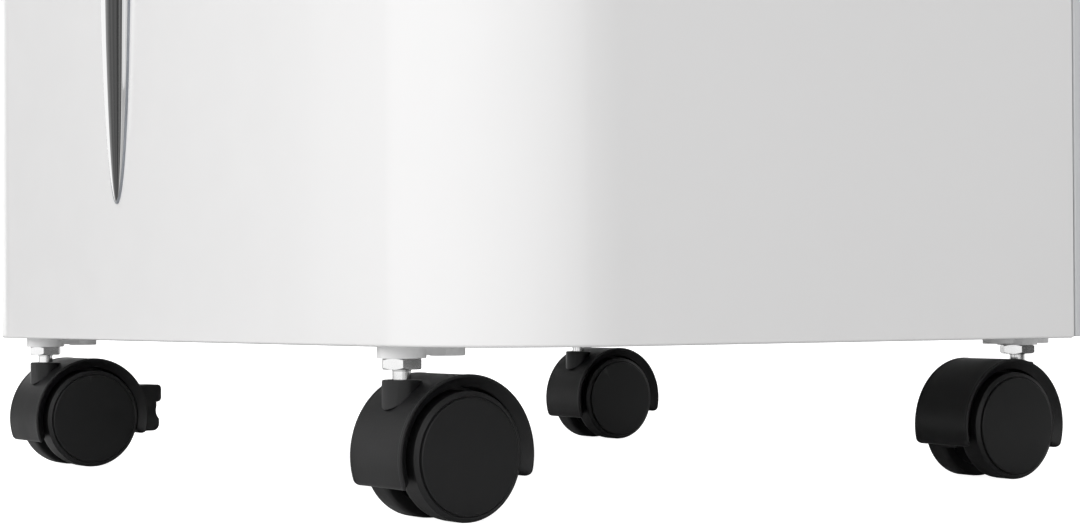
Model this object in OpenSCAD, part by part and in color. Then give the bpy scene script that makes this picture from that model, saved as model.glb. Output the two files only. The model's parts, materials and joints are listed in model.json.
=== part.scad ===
// Portable room dehumidifier on four swivelling twin-wheel casters.
// The origin is on the floor under the middle of the cabinet. +Z is up and -Y is the front.

/* [Cabinet] */
// Width of the cabinet
case_w = 400; // [390:1:420]
// Depth of the cabinet
case_d = 330; // [330:1:336]
// Height of the top above the floor
case_h = 614; // [614:1:620]
// Height of the underside above the floor
lift = 54; // [54:0.5:56]
// Thickness of the moulded shells
wall = 3; // [2.5:0.1:3.5]
// Plan radius of the two front corners
front_r = 50; // [40:1:55]
// Plan radius of the two rear corners
rear_r = 30; // [20:1:30]
// Depth of the front shell, from the front face to the seam
seam_depth = 250; // [246:1:250]
// Height of the top cover
cover_h = 24; // [24:1:26]

/* [Trim] */
// Distance of the chrome blade from the middle of the front, to the left
blade_offset = 41; // [30:1:60]
// Height of the blade's lower tip above the floor
blade_tip = 104.6; // [90:0.2:130]
// Greatest width of the blade
blade_w = 28.6; // [20:0.2:34]
// Length of the blade from its lower tip to its widest place
blade_lower = 111; // [90:1:130]
// Length of the blade from its widest place to its upper tip
blade_upper = 250; // [180:1:280]

/* [Casters] */
// Radius of a wheel
wheel_r = 20; // [19.5:0.1:20]
// Distance from the swivel axis back to the axle
trail = 15; // [14.5:0.1:15]
// Distance of the swivel axes from the middle of the cabinet
caster_x = 140.5; // [135:0.5:145]
// Distance of the front swivel axes behind the front face
caster_inset = 11.5; // [11:0.1:13]
// Distance between the front and the rear swivel axes
caster_base = 277; // [270:1:278]
// Direction in which the front left caster trails
swivel_fl = 91.5; // [0:0.1:360]
// Direction in which the front right caster trails
swivel_fr = 91.9; // [0:0.1:360]
// Direction in which the rear left caster trails
swivel_rl = 89.5; // [0:0.1:360]
// Direction in which the rear right caster trails
swivel_rr = 266.2; // [0:0.1:360]

/* [Tank] */
// Width of the water tank
tank_w = 230; // [220:1:230]
// Distance of the tank's middle from the middle of the cabinet, to the left
tank_offset = 33; // [33:0.5:36]
// Height of the tank to its rim
tank_h = 168; // [160:1:168]
// Depth of the tank
tank_d = 187; // [180:1:187]

/* [Air path] */
// Height of the fan's axis above the floor
fan_z = 400; // [396:1:402]
// Radius of the fan wheel
fan_r = 98; // [90:1:100]
// Number of blades on the fan wheel
fan_blades = 24; // [16:1:30]
// Width of the intake window and of the two coils
coil_w = 300; // [280:1:300]
// Number of fins on each coil
fins = 36; // [20:1:40]

/* [Hidden] */
$fn = 64;

white = "#f4f5f6";
pale_grey = "#d9dbdd";
soft_black = "#1c1d1f";
copper = "#b87345";

// Cabinet
front_y = -case_d / 2;
rear_y = case_d / 2;
seam_y = front_y + seam_depth;
seam_gap = 0.6;
shell_top = case_h - cover_h;
shell_h = shell_top - lift;
fit = 0.2;
over = 1;

// Base pan
pan_bottom = lift + 0.6;
pan_top = lift + 4;
pan_rim_h = 8;
pad_bottom = 49.9;
pad_lug_bottom = 50.9;
pad_r = 7.5;
boss_top = 61.4;
stud_r = 3;

// Inner frame
shelf_z = 238;
shelf_t = 3;
bay_wall = 2;

// Tank
tank_x0 = -tank_offset - tank_w / 2;
tank_x1 = tank_x0 + tank_w;
tank_z0 = 62;
tank_z1 = tank_z0 + tank_h;
tank_y0 = rear_y - tank_d;
tank_wall = 2.5;
bay_gap = 2;
face_gap = 0.8;
face_t = 6;
grip_x = -tank_offset;
grip_z0 = 188;
grip_h = 27;
grip_w = 84;
grip_depth = 26;

// Float
float_x = -110;
float_pivot_y = 45;
float_pivot_z = 222;
float_pin_r = 1.5;
running = 0.06;

// Coils, drip tray and filter
coil_z0 = 264;
coil_h = 280;
coil_d = 28;
evaporator_y = 104;
condenser_y = 70;
tray_z0 = shelf_z + shelf_t + 3;
tray_h = 18;
tray_x = coil_w / 2 + 8;
tray_y0 = condenser_y - 4;
tray_y1 = evaporator_y + coil_d + 3;
filter_y = 138;
filter_t = 6;
filter_w = coil_w - 8;
filter_z0 = 258;
window_z0 = 262;
window_h = 278;
tray_hole = [-40, 78];

// Fan
housing_y0 = 0;
housing_d = 62;
housing_r = 122;
housing_t = 2.5;
shaft_r = 4;

// Outlet and louvres
outlet_w = 260;
outlet_y0 = 2;
outlet_d = 68;
vane_axis_z = case_h - 10;
vane_chord = 20;
vane_t = 2;
vane_pitch = 22;
vane_pin_r = 1.5;
vane_y = outlet_y0 + outlet_d / 2;

// Controls
panel_w = 300;
panel_y0 = -142;
panel_d = 78;
panel_t = 2;
button_r = 9;
button_y = -103;
button_x0 = -120;
button_pitch = 46;
display_x = 98;
display_w = 70;
display_d = 44;

// Drain and mains entry, on the rear
drain_x = 125;
drain_z = 180;
spigot_r = 8;
spigot_bore = 5.5;
spigot_y = rear_y - 22;
spigot_l = 20;
cup_r = 22;
cup_t = 2.5;
shank_r = 7.4;
service_top = 240;
panel_gap = 0.4;
gland_x = 125;
gland_z = 100;
gland_bore = 4;

// Screws in the rear shell
screw_x = 162;
screw_zs = [90, 250, 572];
screw_r = 1.75;

// Side grips
side_grip_y0 = -30;
side_grip_l = 90;
side_grip_z0 = 470;
side_grip_h = 36;
side_grip_depth = 24;

// Compressor
comp_x = 139;
comp_y = -62;
comp_r = 50;
comp_z0 = 72;
comp_h = 150;
comp_arms = [30, 150, 270];
arm_l = 45;
arm_z = 67;

// Casters
hex_z = 46.5;
hex_flats = 11.6;
sleeve_z = 43.4;
sleeve_r = 5.8;
pin_r = 2.85;
pin_z = 23.5;
hood_out = 25;
hood_in = 21.2;
hood_half = 13.9;
web_half = 4.2;
axle_r = 2.5;
axle_half = 12.4;
wheel_in = 4.7;
wheel_out = 15.4;
hood_start = -13;
hood_end = 198;
lever_half = 6;
lever_pivot = [37.9, 23.2];
lever_pin_r = 1.2;
front_stem_y = front_y + caster_inset;
rear_stem_y = front_stem_y + caster_base;

// ---- Shared shapes ----

// Plan outline with its own radius at the front and at the rear corners, exact arcs.
module plan(inset = 0) {
    half = case_w / 2 - inset;
    y0 = front_y + inset;
    y1 = rear_y - inset;
    rf = front_r - inset;
    rr = rear_r - inset;
    translate([-half, y0 + rf]) square([2 * half, y1 - y0 - rf - rr]);
    translate([-half + rf, y0]) square([2 * (half - rf), rf + over]);
    translate([-half + rr, y1 - rr - over]) square([2 * (half - rr), rr + over]);
    for (side = [-1, 1]) {
        translate([side * (half - rf), y0 + rf]) circle(rf);
        translate([side * (half - rr), y1 - rr]) circle(rr);
    }
}

// A cylinder along Y that starts at y.
module rod_y(r, y, l) {
    translate([0, y, 0]) rotate([-90, 0, 0]) cylinder(r = r, h = l);
}

// A box given by its two corners.
module span(low, high) {
    translate(low) cube(high - low);
}

// A round pipe through a list of points, with ball corners.
module pipe(points, r) {
    for (i = [0 : len(points) - 2]) {
        a = points[i];
        d = points[i + 1] - a;
        l = norm(d);
        translate(a) rotate([0, acos(d[2] / l), atan2(d[1], d[0])]) cylinder(r = r, h = l);
    }
    for (i = [1 : len(points) - 2]) translate(points[i]) sphere(r);
}

// A rectangle with rounded corners, exact arcs.
module rounded(w, h, r) {
    translate([r, 0]) square([w - 2 * r, h]);
    translate([0, r]) square([w, h - 2 * r]);
    for (x = [r, w - r], y = [r, h - r]) translate([x, y]) circle(r);
}

module at_screws(zs) {
    for (x = [-screw_x, screw_x], z = zs) translate([x, 0, z]) children();
}

// A block inside the rear shell that one or more of its screws bite into.
module screw_block_pair(z0, z1, zs) {
    difference() {
        for (x = [-screw_x, screw_x]) {
            span([x - 6, rear_y - 25, z0], [x + 6, rear_y - wall - fit, z1]);
        }
        at_screws(zs) rod_y(screw_r, rear_y - 24, 24);
    }
}

// ---- Cabinet ----

module front_shell() {
    color(white) difference() {
        translate([0, 0, lift]) linear_extrude(shell_h) plan();
        translate([0, 0, lift - over]) linear_extrude(shell_h + 2 * over) plan(wall);
        span([-case_w, seam_y, 0], [case_w, case_d, case_h]);
        span([-case_w, side_grip_y0, side_grip_z0],
             [case_w, side_grip_y0 + side_grip_l, side_grip_z0 + side_grip_h]);
    }
}

// The flat back wall, with the intake window, the tank bay and the gap for the service panel.
module rear_shell() {
    half = case_w / 2 - rear_r;
    color(pale_grey) difference() {
        span([-half, rear_y - wall, lift], [half, rear_y, shell_top]);
        span([-coil_w / 2, rear_y - wall - over, window_z0],
             [coil_w / 2, rear_y + over, window_z0 + window_h]);
        span([tank_x0 - bay_gap, rear_y - wall - over, tank_z0 - bay_gap],
             [tank_x1 + bay_gap, rear_y + over, tank_z1 + 6]);
        span([tank_x1 + bay_gap, rear_y - wall - over, lift - over],
             [half + over, rear_y + over, service_top]);
        at_screws(screw_zs) rod_y(screw_r + 0.3, rear_y - wall - over, rear_y);
        at_screws(screw_zs) rod_y(4, rear_y - 1.6, rear_y);
    }
}

// The panel beside the tank bay that holds the drain cup and the mains gland.
module service_panel() {
    half = case_w / 2 - rear_r;
    color(pale_grey) difference() {
        span([tank_x1 + bay_gap, rear_y - wall, lift],
             [half, rear_y, service_top - panel_gap]);
        translate([drain_x, 0, drain_z]) rod_y(cup_r + cup_t, rear_y - wall - over, rear_y);
        translate([gland_x, 0, gland_z]) rod_y(8, rear_y - wall - over, rear_y);
        at_screws(screw_zs) rod_y(screw_r + 0.3, rear_y - wall - over, rear_y);
        at_screws(screw_zs) rod_y(4, rear_y - 1.6, rear_y);
    }
}

// The rounded returns that carry the back wall forward to the seam.
module rear_corners() {
    half = case_w / 2 - rear_r;
    color(pale_grey) difference() {
        translate([0, 0, lift]) linear_extrude(shell_h) plan();
        translate([0, 0, lift - over]) linear_extrude(shell_h + 2 * over) plan(wall);
        span([-case_w, -case_d, 0], [case_w, seam_y + seam_gap, case_h]);
        span([-half, 0, 0], [half, case_d, case_h]);
    }
}

// Channels that guide the filter, on the back wall's inner face beside the intake window.
module filter_rails() {
    deep = 1.6;
    slack = 0.6;
    x0 = filter_w / 2 - 4;
    x1 = filter_w / 2 + 0.8;
    x2 = coil_w / 2 + 5.5;
    y0 = filter_y - slack;
    y1 = filter_y + filter_t + slack;
    top = shell_top - 2;
    color(pale_grey) for (side = [0, 1]) mirror([side, 0, 0]) difference() {
        span([x0, y0 - deep, filter_z0 - 4], [x2, rear_y - wall, top]);
        span([x0 - over, y0, filter_z0 - 2], [x1, y1, top + over]);
        span([x0 - over, y1 + deep, filter_z0 - 8], [coil_w / 2 + fit, rear_y, top + over]);
    }
}

module caster_pad(x, y, lugs) {
    lug_r = 5.5;
    translate([x, y, pad_bottom]) cylinder(r = pad_r, h = pan_top - pad_bottom);
    for (lug = lugs) {
        translate([x, y + lug, pad_lug_bottom]) cylinder(r = lug_r, h = pan_top - pad_lug_bottom);
        span([x - lug_r, y + min(lug, 0), pad_lug_bottom + 1.4],
             [x + lug_r, y + max(lug, 0), pan_top]);
    }
    translate([x, y, pan_top - over]) cylinder(r = 8, h = boss_top - pan_top + over);
}

module at_stems() {
    for (x = [-caster_x, caster_x], y = [front_stem_y, rear_stem_y]) translate([x, y, 0]) children();
}

module base_pan() {
    rail_l = tank_d - 12;
    color(pale_grey) difference() {
        union() {
            translate([0, 0, pan_bottom]) linear_extrude(pan_top - pan_bottom) plan(wall + fit);
            difference() {
                translate([0, 0, pan_bottom]) linear_extrude(pan_top - pan_bottom + pan_rim_h)
                    plan(wall + fit);
                translate([0, 0, pan_bottom - over]) linear_extrude(60) plan(wall + fit + 2);
                span([tank_x0 - bay_gap, rear_y - 20, pan_top - over],
                     [tank_x1 + bay_gap, rear_y, 90]);
            }
            for (side = [-1, 1]) {
                caster_pad(side * caster_x, front_stem_y, [16.5]);
                caster_pad(side * caster_x, rear_stem_y, [-11, 9.5]);
            }
            for (x = [tank_x0 + 30, tank_x1 - 30]) {
                span([x - 4, tank_y0 + 4, pan_top - over], [x + 4, tank_y0 + rail_l, tank_z0 - 0.4]);
            }
            screw_block_pair(pan_bottom, screw_zs[0] + 8, [screw_zs[0]]);
        }
        at_stems() translate([0, 0, pad_bottom - over])
            cylinder(r = stud_r + 0.05, h = boss_top - pad_bottom);
    }
}

// The two stages of a solid with the cabinet's plan and a rounded top edge.
module cover_body(inset, z_low, z_high, edge) {
    hull() for (side = [-1, 1], end = [0, 1]) {
        r = (end == 0 ? front_r : rear_r) - inset;
        y = end == 0 ? front_y + front_r : rear_y - rear_r;
        x = side * (case_w / 2 - (end == 0 ? front_r : rear_r));
        translate([x, y, z_low]) cylinder(r = r, h = z_high - z_low - edge, $fn = 48);
        translate([x, y, z_high - edge]) rotate_extrude($fn = 48) {
            intersection() {
                translate([r - edge, 0]) circle(edge, $fn = 24);
                square([r, edge]);
            }
        }
    }
}

module top_cover() {
    edge = 12;
    collar = 3;
    ledge = 4;
    low = shell_top;
    color(white) {
        difference() {
            union() {
                difference() {
                    cover_body(0, low, case_h, edge);
                    cover_body(wall, low - edge, case_h - wall, edge - wall);
                }
                span([-outlet_w / 2 - collar, outlet_y0 - collar, low + 2],
                     [outlet_w / 2 + collar, outlet_y0 + outlet_d + collar, case_h - over]);
                span([-filter_w / 2 - 4, filter_y - 4, low + 2],
                     [filter_w / 2 + 4, filter_y + filter_t + 4, case_h - wall + over]);
            }
            span([-outlet_w / 2, outlet_y0, low - over],
                 [outlet_w / 2, outlet_y0 + outlet_d, case_h + over]);
            for (k = [-1, 0, 1]) translate([0, vane_y + k * vane_pitch, vane_axis_z]) {
                rotate([0, 90, 0]) translate([0, 0, -outlet_w / 2 - 2])
                    cylinder(r = vane_pin_r + running, h = outlet_w + 4, $fn = 24);
            }
            span([-filter_w / 2 - 1.4, filter_y - 1.4, low - over],
                 [filter_w / 2 + 1.4, filter_y + filter_t + 1.4, case_h + over]);
            translate([-panel_w / 2, panel_y0, case_h - panel_t])
                linear_extrude(panel_t + over) rounded(panel_w, panel_d, 10);
            span([-panel_w / 2 + ledge, panel_y0 + ledge + 6, low],
                 [panel_w / 2 - ledge, panel_y0 + panel_d - ledge - 6, case_h]);
        }
        screw_block_pair(screw_zs[2] - 8, case_h - wall - 4, [screw_zs[2]]);
    }
}

// Shelf over the tank bay. It carries the drip tray, the coils and the fan housing.
module inner_frame() {
    color(pale_grey) difference() {
        intersection() {
            translate([0, 0, shelf_z]) linear_extrude(shelf_t) plan(wall + fit);
            span([-case_w, front_y, 0], [case_w, rear_y - 12, case_h]);
        }
        span([100, -100, shelf_z - over], [188, 22, shelf_z + 9]);
        translate([tray_hole[0], tray_hole[1], shelf_z - over]) cylinder(r = 9, h = 9);
        translate([drain_x, tray_y1 - 8, shelf_z - over]) cylinder(r = 8, h = 9);
    }
}

// The tank bay's side and front walls, and on the shelf the blocks for the rear shell's middle screws.
module bay_walls() {
    side_x = tank_x1 + bay_gap + 1;
    color(pale_grey) {
        span([side_x, tank_y0 - 5, pan_top], [side_x + bay_wall, rear_y - 30, shelf_z]);
        span([tank_x0, tank_y0 - 5, pan_top], [side_x - fit, tank_y0 - 3, shelf_z]);
        screw_block_pair(shelf_z + shelf_t, screw_zs[1] + 8, [screw_zs[1]]);
    }
}

// Finger cups let into both sides of the front shell.
module side_grips() {
    t = 2.5;
    color(pale_grey) for (side = [0, 1]) mirror([side, 0, 0]) difference() {
        span([case_w / 2 - side_grip_depth - t, side_grip_y0 + fit, side_grip_z0 + fit],
             [case_w / 2 - 0.4, side_grip_y0 + side_grip_l - fit,
              side_grip_z0 + side_grip_h - fit]);
        span([case_w / 2 - side_grip_depth, side_grip_y0 + t, side_grip_z0 + t],
             [case_w / 2 + over, side_grip_y0 + side_grip_l - t,
              side_grip_z0 + side_grip_h - t]);
    }
}

// Half width of the blade at a height measured from its widest place.
function blade_half(z) = blade_w / 2 * sqrt(max(0, 1 - pow(z / (z < 0 ? blade_lower : blade_upper), 2)));

module chrome_trim() {
    steps = 20;
    proud = 2.5;
    heights = concat(
        [for (i = [0 : steps]) -blade_lower * cos(90 * i / steps)],
        [for (i = [1 : steps]) blade_upper * sin(90 * i / steps)]
    );
    count = len(heights);
    right = [for (i = [0 : count - 1]) [blade_half(heights[i]), heights[i]]];
    left = [for (i = [1 : count - 2]) [-right[count - 1 - i][0], right[count - 1 - i][1]]];
    color("silver") translate([-blade_offset, front_y, blade_tip + blade_lower])
        rotate([90, 0, 0]) linear_extrude(proud) polygon(concat(right, left));
}

module rear_grille() {
    rim = 6;
    proud = 2.5;
    slats = 22;
    slat_t = 4;
    y0 = rear_y - 6;
    low = [-coil_w / 2 + fit, y0, window_z0 + fit];
    high = [coil_w / 2 - fit, rear_y + proud, window_z0 + window_h - fit];
    pitch = (window_h - 2 * rim) / (slats + 1);
    color(pale_grey) {
        difference() {
            span(low, high);
            span([low[0] + rim, y0 - over, low[2] + rim], [high[0] - rim, rear_y + 9, high[2] - rim]);
        }
        for (i = [1 : slats]) {
            z = window_z0 + rim + i * pitch;
            span([low[0] + over, y0 + over, z - slat_t / 2],
                 [high[0] - over, rear_y + proud - 0.6, z + slat_t / 2]);
        }
        for (x = [-coil_w / 6, coil_w / 6]) {
            span([x - 2, y0, low[2] + over], [x + 2, rear_y, high[2] - over]);
        }
    }
}

module case_screws() {
    color("dimgray") at_screws(screw_zs) {
        rod_y(screw_r, rear_y - 20, 19);
        difference() {
            rod_y(3.7, rear_y - 1.5, 1.4);
            for (turn = [0, 90]) rotate([0, turn, 0]) span([-2, rear_y - 0.9, -0.4], [2, rear_y, 0.4]);
        }
    }
}

// ---- Drain and mains entry ----

// The recess round the hose spigot, let into the back wall.
module drain_cup() {
    color(pale_grey) translate([drain_x, 0, drain_z]) difference() {
        rod_y(cup_r + cup_t, spigot_y - cup_t, rear_y - spigot_y + cup_t);
        rod_y(cup_r, spigot_y, rear_y);
        rod_y(shank_r, spigot_y - cup_t - over, rear_y);
    }
}

module drain_spout() {
    color(soft_black) translate([drain_x, 0, drain_z]) difference() {
        union() {
            rod_y(spigot_r, spigot_y, spigot_l);
            rod_y(shank_r, spigot_y - cup_t - 4, cup_t + 4 + over);
            rod_y(spigot_r + 3, spigot_y - cup_t - 4, 4);
            translate([0, tray_y1 - 8, 0]) cylinder(r = 7, h = tray_z0 - drain_z);
            rod_y(7, tray_y1 - 8, spigot_y - tray_y1 + 8);
            translate([0, tray_y1 - 8, 0]) sphere(7);
        }
        rod_y(spigot_bore, spigot_y - 3, spigot_l + 9);
        rod_y(4.5, tray_y1 - 8, spigot_l);
        translate([0, tray_y1 - 8, 0]) cylinder(r = 4.5, h = 99);
    }
}

module drain_plug() {
    color("dimgray") translate([drain_x, 0, drain_z]) {
        rod_y(spigot_bore - 0.08, spigot_y + 3, spigot_l - 3 + 0.3);
        difference() {
            rod_y(7.4, spigot_y + spigot_l + 0.3, 1.6);
            span([-4.6, spigot_y + spigot_l + 1.1, -1], [4.6, rear_y + over, 1]);
        }
    }
}

module mains_gland() {
    color(soft_black) translate([gland_x, 0, gland_z]) difference() {
        union() {
            rod_y(7.8, rear_y - 18, 18);
            rod_y(11, rear_y, 2.5);
            rotate([-90, 0, 0]) translate([0, 0, rear_y - 9]) cylinder(r = 12, h = 5.5, $fn = 6);
        }
        rod_y(gland_bore, rear_y - 19, 30);
    }
}

// ---- Controls ----

module button_cap(index) {
    x = button_x0 + index * button_pitch;
    color(pale_grey) translate([x, button_y, 0]) {
        translate([0, 0, case_h - 7]) cylinder(r = button_r, h = 8.2);
        translate([0, 0, case_h - 8]) cylinder(r = button_r + 1.8, h = 1.6);
        translate([0, 0, case_h - 12]) cylinder(r = 2.5, h = 5);
    }
}

module button_power() { button_cap(0); }
module button_mode() { button_cap(1); }
module button_speed() { button_cap(2); }
module button_timer() { button_cap(3); }

module control_panel() {
    color(soft_black) difference() {
        translate([-panel_w / 2 + fit, panel_y0 + fit, case_h - panel_t])
            linear_extrude(panel_t) rounded(panel_w - 2 * fit, panel_d - 2 * fit, 10);
        for (i = [0 : 3]) translate([button_x0 + i * button_pitch, button_y, case_h - 9])
            cylinder(r = button_r + 0.5, h = 20);
        span([display_x - display_w / 2, button_y - display_d / 2, case_h - 9],
             [display_x + display_w / 2, button_y + display_d / 2, case_h + over]);
    }
}

module display_window() {
    color([0.1, 0.13, 0.15, 0.7])
        span([display_x - display_w / 2 + fit, button_y - display_d / 2 + fit, case_h - 2],
             [display_x + display_w / 2 - fit, button_y + display_d / 2 - fit, case_h - 0.4]);
}

module control_board() {
    board_z = shell_top - 4;
    color("darkgreen") {
        span([-146, panel_y0 + 4, board_z], [146, panel_y0 + panel_d - 4, board_z + 1.6]);
        for (x = [-138, 138], y = [panel_y0 + 9, panel_y0 + panel_d - 9]) {
            translate([x, y, board_z]) cylinder(r = 3.5, h = case_h - 3 - board_z);
        }
    }
    color("black") {
        for (i = [0 : 3]) {
            x = button_x0 + i * button_pitch;
            span([x - 3, button_y - 3, board_z], [x + 3, button_y + 3, case_h - 13.6]);
        }
        span([display_x - 30, button_y - 17, board_z], [display_x + 30, button_y + 17, case_h - 4]);
        span([-70, panel_y0 + 56, board_z - 14], [-40, panel_y0 + 72, board_z + over]);
        span([10, panel_y0 + 50, board_z - 18], [46, panel_y0 + 72, board_z + over]);
    }
}

module tank_switch() {
    color("black") span([float_x - 12, 12, shelf_z + shelf_t], [float_x + 12, 26, shelf_z + shelf_t + 11]);
}

// ---- Refrigeration ----

module coil(y) {
    fin_t = 1.2;
    pitch = (coil_w - fin_t - 12) / (fins - 1);
    tube_r = 3.6;
    x0 = -coil_w / 2 + 6;
    rows = [for (k = [0 : 5]) coil_z0 + 24 + k * 46];
    for (i = [0 : fins - 1]) {
        span([x0 + i * pitch, y, coil_z0], [x0 + i * pitch + fin_t, y + coil_d, coil_z0 + coil_h]);
    }
    for (z = rows, dy = [8, 20]) {
        translate([-coil_w / 2 + 1, y + dy, z]) rotate([0, 90, 0]) cylinder(r = tube_r, h = coil_w - 2);
    }
    for (z = rows, side = [-1, 1]) {
        x = side * (coil_w / 2 - 1);
        translate([x, y + 14, z]) rotate([0, 0, -side * 90]) rotate_extrude(angle = 180) {
            translate([6, 0]) circle(tube_r, $fn = 24);
        }
    }
}

module evaporator() {
    color("gainsboro") coil(evaporator_y);
}

module condenser() {
    color("silver") coil(condenser_y);
}

module drip_tray() {
    t = 2;
    color(soft_black) difference() {
        union() {
            span([-tray_x, tray_y0, tray_z0], [tray_x, tray_y1, tray_z0 + tray_h]);
            translate([tray_hole[0], tray_hole[1], shelf_z - 2.5]) cylinder(r = 7, h = 10);
            for (x = [-120, 120]) span([x - 8, tray_y0 + 8, shelf_z + shelf_t],
                                       [x + 8, tray_y1 - 18, tray_z0 + over]);
        }
        span([-tray_x + t, tray_y0 + t, tray_z0 + t], [tray_x - t, tray_y1 - t, tray_z0 + 99]);
        translate([tray_hole[0], tray_hole[1], shelf_z - 5]) cylinder(r = 5, h = 30);
        translate([drain_x, tray_y1 - 8, tray_z0 - over]) cylinder(r = 4.5, h = 9);
    }
}

// The suction and the discharge pipe, from the compressor to the ends of the coils, and the
// filter drier between the coils at their other end.
module refrigerant_pipes() {
    suction_x = coil_w / 2 + 18;
    discharge_x = coil_w / 2 + 30;
    drier_x = -coil_w / 2 - 14;
    drier_z = coil_z0 + 24;
    suction_y = evaporator_y + coil_d / 2;
    discharge_y = condenser_y + coil_d / 2;
    color(copper) {
        pipe([[115, 8, 164], [115, 8, 252], [suction_x, 8, 252], [suction_x, suction_y, 252],
            [suction_x, suction_y, coil_z0 + 24], [coil_w / 2 + 9, suction_y, coil_z0 + 24]], 4);
        pipe([[150, -75, comp_z0 + comp_h], [150, -75, 262], [discharge_x, -75, 262],
            [discharge_x, discharge_y, 262], [discharge_x, discharge_y, coil_z0 + 70],
            [coil_w / 2 + 9, discharge_y, coil_z0 + 70]], 3.5);
        pipe([[drier_x + 5, discharge_y, drier_z], [drier_x, discharge_y, drier_z],
            [drier_x, suction_y, drier_z], [drier_x + 5, suction_y, drier_z]], 2);
        translate([drier_x, 0, drier_z]) rod_y(7, discharge_y + 7, 20);
    }
}

module compressor() {
    corner = 24;
    arm_w = 18;
    color(soft_black) {
        difference() {
            union() {
                translate([comp_x, comp_y, comp_z0]) {
                    rotate_extrude() {
                        square([comp_r - corner, comp_h]);
                        translate([0, corner]) square([comp_r, comp_h - 2 * corner]);
                        for (z = [corner, comp_h - corner]) intersection() {
                            translate([comp_r - corner, z]) circle(corner);
                            square([comp_r, comp_h]);
                        }
                    }
                }
                translate([comp_x, comp_y, arm_z]) cylinder(r = 28, h = 12);
                translate([comp_x, comp_y, arm_z]) for (a = comp_arms) rotate([0, 0, a]) {
                    span([0, -arm_w / 2, 0], [arm_l, arm_w / 2, 3]);
                    translate([arm_l, 0, 0]) cylinder(r = arm_w / 2 - over, h = 3);
                }
            }
            translate([comp_x, comp_y, 0]) for (a = comp_arms) rotate([0, 0, a]) {
                translate([arm_l, 0, arm_z - over]) cylinder(r = 5.05, h = 12);
            }
        }
        translate([115, 8, 96]) cylinder(r = 15, h = 66);
        pipe([[115, 8, 98], [115, 8, 88], [128, -30, 88]], 5);
        translate([comp_x + 10, comp_y + 6, comp_z0 + comp_h - over]) cylinder(r = 14, h = 9);
    }
}

module compressor_grommets() {
    color("black") translate([comp_x, comp_y, 0]) for (a = comp_arms) rotate([0, 0, a]) {
        translate([arm_l, 0, pan_top]) {
            cylinder(r = 8, h = arm_z - pan_top);
            cylinder(r = 5, h = arm_z - pan_top + 3.6);
        }
        translate([arm_l, 0, arm_z + 3]) cylinder(r = 7, h = 3);
    }
}

// ---- Fan ----

module fan_housing() {
    outlet_z = shell_top - 1;
    inlet_r = 78;
    color(pale_grey) difference() {
        union() {
            translate([0, 0, fan_z]) rod_y(housing_r, housing_y0, housing_d);
            span([-housing_r, housing_y0, fan_z], [housing_r, housing_y0 + housing_d, outlet_z]);
            for (x = [-75, 75]) span([x - 14, 8, shelf_z + shelf_t], [x + 14, 54, fan_z - 94]);
        }
        translate([0, 0, fan_z]) {
            rod_y(housing_r - housing_t, housing_y0 + housing_t, housing_d - 2 * housing_t);
            rod_y(inlet_r, housing_y0 + housing_d - 2 * housing_t, housing_d);
            rod_y(20, housing_y0 - over, 9);
        }
        span([housing_t - housing_r, housing_y0 + housing_t, fan_z],
             [housing_r - housing_t, housing_y0 + housing_d - housing_t, outlet_z + over]);
    }
}

module fan_motor() {
    color("slategray") translate([0, 0, fan_z]) difference() {
        union() {
            rod_y(40, -50, 46);
            rod_y(30, -56, 8);
            rod_y(48, -4, 4);
        }
        rod_y(shaft_r + 0.05, -52, 60);
    }
}

module motor_shaft() {
    color("silver") translate([0, 0, fan_z]) rod_y(shaft_r, -51, 77);
}

module fan_wheel() {
    y0 = housing_y0 + 8;
    blade_l = 22;
    color(soft_black) translate([0, 0, fan_z]) difference() {
        union() {
            rod_y(fan_r, y0, 2.4);
            rod_y(12, y0, 20);
            difference() {
                rod_y(fan_r, y0 + 44, 2.4);
                rod_y(fan_r - blade_l, y0 + 40, 12);
            }
            for (i = [0 : fan_blades - 1]) rotate([0, i * 360 / fan_blades, 0]) {
                translate([fan_r - 12, 0, 0]) rotate([0, 28, 0])
                    span([-blade_l / 2, y0 + over, -0.9], [blade_l / 2 - 1.5, y0 + 45, 0.9]);
            }
        }
        rod_y(shaft_r, y0 - over, 30);
    }
}

// ---- Filter and louvres ----

module air_filter() {
    rim = 8;
    top = case_h - 16;
    y1 = filter_y + filter_t;
    color(soft_black) {
        difference() {
            span([-filter_w / 2, filter_y, filter_z0], [filter_w / 2, y1, top]);
            span([rim - filter_w / 2, filter_y - over, filter_z0 + rim],
                 [filter_w / 2 - rim, y1 + over, top - 40]);
        }
        span([over - filter_w / 2, filter_y + 2.6, filter_z0 + over],
             [filter_w / 2 - over, filter_y + 3.4, top - 30]);
        for (x = [-92, -46, 0, 46, 92]) {
            span([x - 1.5, filter_y + 1, filter_z0 + over], [x + 1.5, y1 - 1, top - 30]);
        }
        for (z = [306, 352, 398, 444, 490]) {
            span([over - filter_w / 2, filter_y + 1, z - 1.5], [filter_w / 2 - over, y1 - 1, z + 1.5]);
        }
        span([-filter_w / 2, filter_y, top - over], [filter_w / 2, y1, case_h - 5]);
        span([-34, filter_y + 1.5, case_h - 6], [34, filter_y + 4.5, case_h - 0.5]);
    }
}

module vane(k) {
    end = outlet_w / 2 - 0.6;
    color(white) translate([0, vane_y + k * vane_pitch, vane_axis_z]) {
        span([-end, -vane_chord / 2 + over, -vane_t / 2], [end, vane_chord / 2 - over, vane_t / 2]);
        for (edge = [-1, 1]) translate([-end, edge * (vane_chord / 2 - over), 0])
            rotate([0, 90, 0]) cylinder(r = vane_t / 2, h = 2 * end, $fn = 24);
        translate([-end - 2.2, 0, 0]) rotate([0, 90, 0])
            cylinder(r = vane_pin_r, h = 2 * end + 4.4, $fn = 24);
    }
}

module louvre_front() { vane(-1); }
module louvre_middle() { vane(0); }
module louvre_rear() { vane(1); }

// ---- Tank ----

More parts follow.
